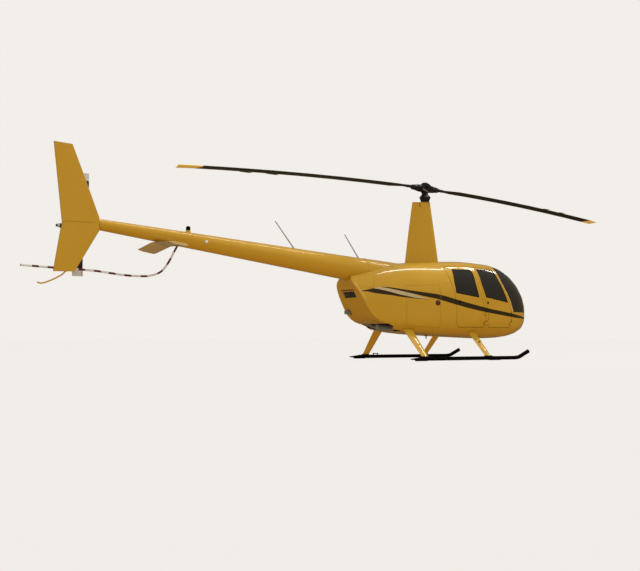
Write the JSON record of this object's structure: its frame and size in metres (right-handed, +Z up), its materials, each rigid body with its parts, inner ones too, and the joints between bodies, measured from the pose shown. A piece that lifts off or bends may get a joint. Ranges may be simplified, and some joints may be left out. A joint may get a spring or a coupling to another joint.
{
  "type": "light helicopter",
  "caption": "Light helicopter with a glazed cabin, hinged doors, tall mast, slim tail boom with fins, turning rotors and landing skids.",
  "frame": {"origin": "on the ground under the middle of the bounding box", "axes": "+X to the nose, +Y to port, +Z up"},
  "size_m": [11.6931, 2.3468, 3.193],
  "materials": {
    "yellow_paint": "glossy golden yellow",
    "black_parts": "satin black",
    "bare_metal": "cast and machined",
    "smoked_acrylic": "tinted and clear",
    "trim_cloth": "woven",
    "white_paint": "gloss",
    "guard_red": "red with white bands",
    "interior_plastic": "matt"
  },
  "bodies": {
    "airframe": {"cabin_tub": "yellow_paint", "cabin_roof": "yellow_paint", "windshield_post": "yellow_paint", "engine_cowl": "yellow_paint", "cowl_back": "yellow_paint", "mast_fairing": "yellow_paint", "tail_boom": "yellow_paint", "upper_fin": "yellow_paint", "lower_fin": "yellow_paint", "stabiliser": "yellow_paint", "tail_skid": "yellow_paint", "leg_front_left": "yellow_paint", "leg_front_right": "yellow_paint", "leg_rear_left": "yellow_paint", "leg_rear_right": "yellow_paint", "beacon": "black_parts", "swashplate": "black_parts", "skid_left": "black_parts", "skid_right": "black_parts", "cyclic_stick": "black_parts", "firewall": "bare_metal", "engine": "bare_metal", "exhaust": "bare_metal", "main_gearbox": "bare_metal", "tail_gearbox": "bare_metal", "windshield_left": "smoked_acrylic", "windshield_right": "smoked_acrylic", "cushion_front_left": "trim_cloth", "cushion_front_right": "trim_cloth", "cushion_rear_left": "trim_cloth", "cushion_rear_right": "trim_cloth", "tail_light": "white_paint", "whip_front": "white_paint", "whip_rear": "white_paint", "tail_guard": "guard_red", "console": "interior_plastic", "front_bench": "interior_plastic", "rear_bench": "interior_plastic"},
    "main_rotor": {"rotor_mast": "bare_metal", "rotor_hub": "black_parts", "main_blade_a": "black_parts", "main_blade_b": "black_parts"},
    "tail_rotor": {"tail_rotor_hub": "black_parts", "tail_blade_a": "white_paint", "tail_blade_b": "white_paint"},
    "door_front_left": {"door_front_left": "yellow_paint", "window_front_left": "smoked_acrylic"},
    "door_front_right": {"door_front_right": "yellow_paint", "window_front_right": "smoked_acrylic"},
    "door_rear_left": {"door_rear_left": "yellow_paint", "window_rear_left": "smoked_acrylic"},
    "door_rear_right": {"door_rear_right": "yellow_paint", "window_rear_right": "smoked_acrylic"}
  },
  "joints": [
    {"name": "main_rotor_spin", "type": "hinge", "parent": "airframe", "child": "main_rotor", "pos_m": [0.945, 0, 2.918], "axis": [0, 0, 1], "continuous": true},
    {"name": "tail_rotor_spin", "type": "hinge", "parent": "airframe", "child": "tail_rotor", "pos_m": [-4.985, 0.21, 2.0445], "axis": [0, 1, 0], "continuous": true},
    {"name": "door_front_left_hinge", "type": "hinge", "parent": "airframe", "child": "door_front_left", "pos_m": [2.357, 0.5944, 0.918], "axis": [0, 0, -1], "range_deg": [0, 75]},
    {"name": "door_front_right_hinge", "type": "hinge", "parent": "airframe", "child": "door_front_right", "pos_m": [2.357, -0.5944, 0.918], "axis": [0, 0, 1], "range_deg": [0, 75]},
    {"name": "door_rear_left_hinge", "type": "hinge", "parent": "airframe", "child": "door_rear_left", "pos_m": [1.777, 0.6504, 0.918], "axis": [0, 0, -1], "range_deg": [0, 75]},
    {"name": "door_rear_right_hinge", "type": "hinge", "parent": "airframe", "child": "door_rear_right", "pos_m": [1.777, -0.6504, 0.918], "axis": [0, 0, 1], "range_deg": [0, 75]}
  ]
}
